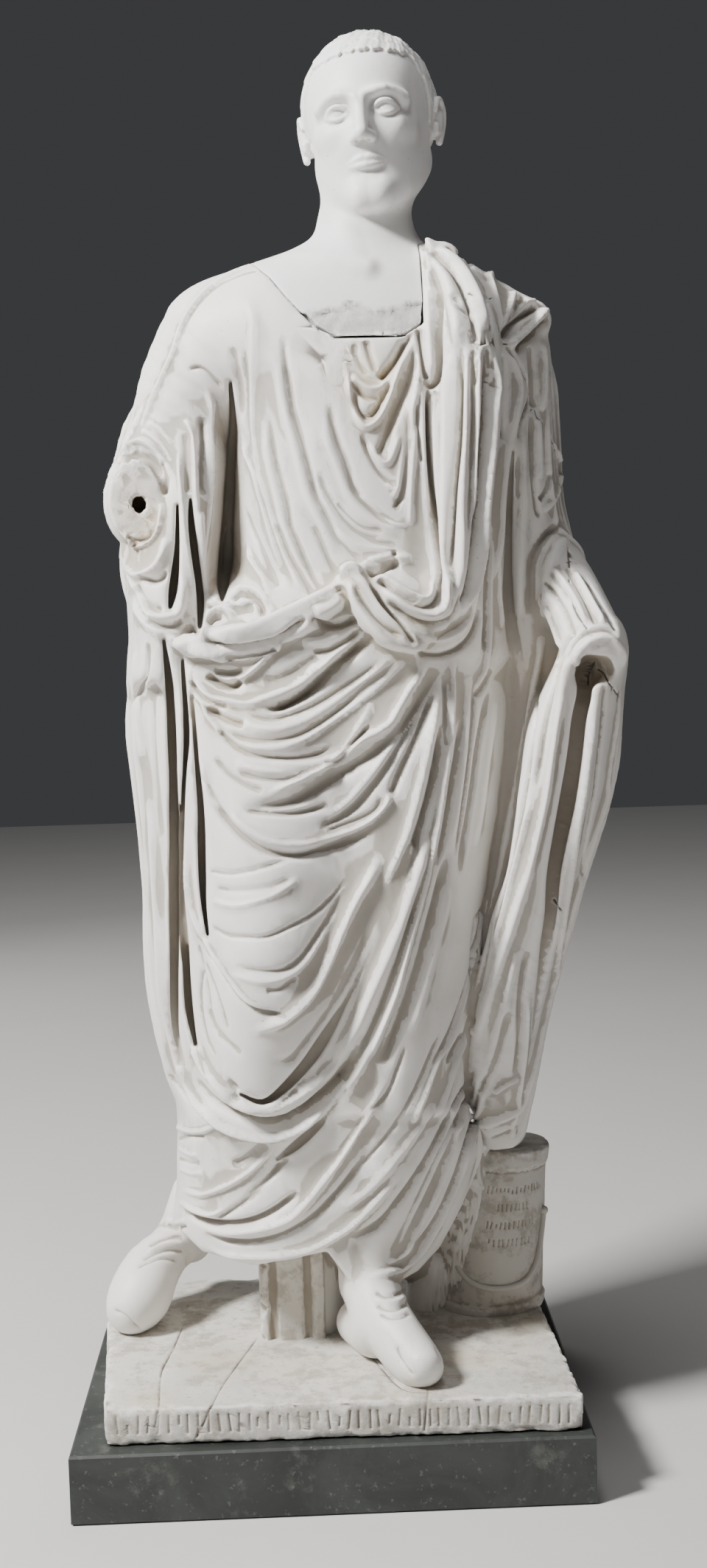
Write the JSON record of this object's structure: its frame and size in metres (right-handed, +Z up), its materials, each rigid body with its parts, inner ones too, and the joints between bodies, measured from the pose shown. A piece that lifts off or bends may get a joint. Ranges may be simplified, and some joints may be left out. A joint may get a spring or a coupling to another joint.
{
  "type": "marble statue",
  "caption": "Life-size marble statue of a standing draped figure with a broken forearm and an inserted head, on its own plinth and a dark stone slab, for display.",
  "frame": {"origin": "centre of the slab's underside", "axes": "+Z up, the figure faces -Y, +X is the viewer's right"},
  "size_m": [0.7745, 0.54, 1.9275],
  "materials": {
    "marble": "honed and weathered marble with grey veins and dirt in the folds",
    "white_marble": "smooth white marble",
    "dark_stone": "honed dark grey-green stone"
  },
  "bodies": {
    "root": {"statue": "marble", "head": "white_marble", "base_slab": "dark_stone"}
  },
  "joints": []
}
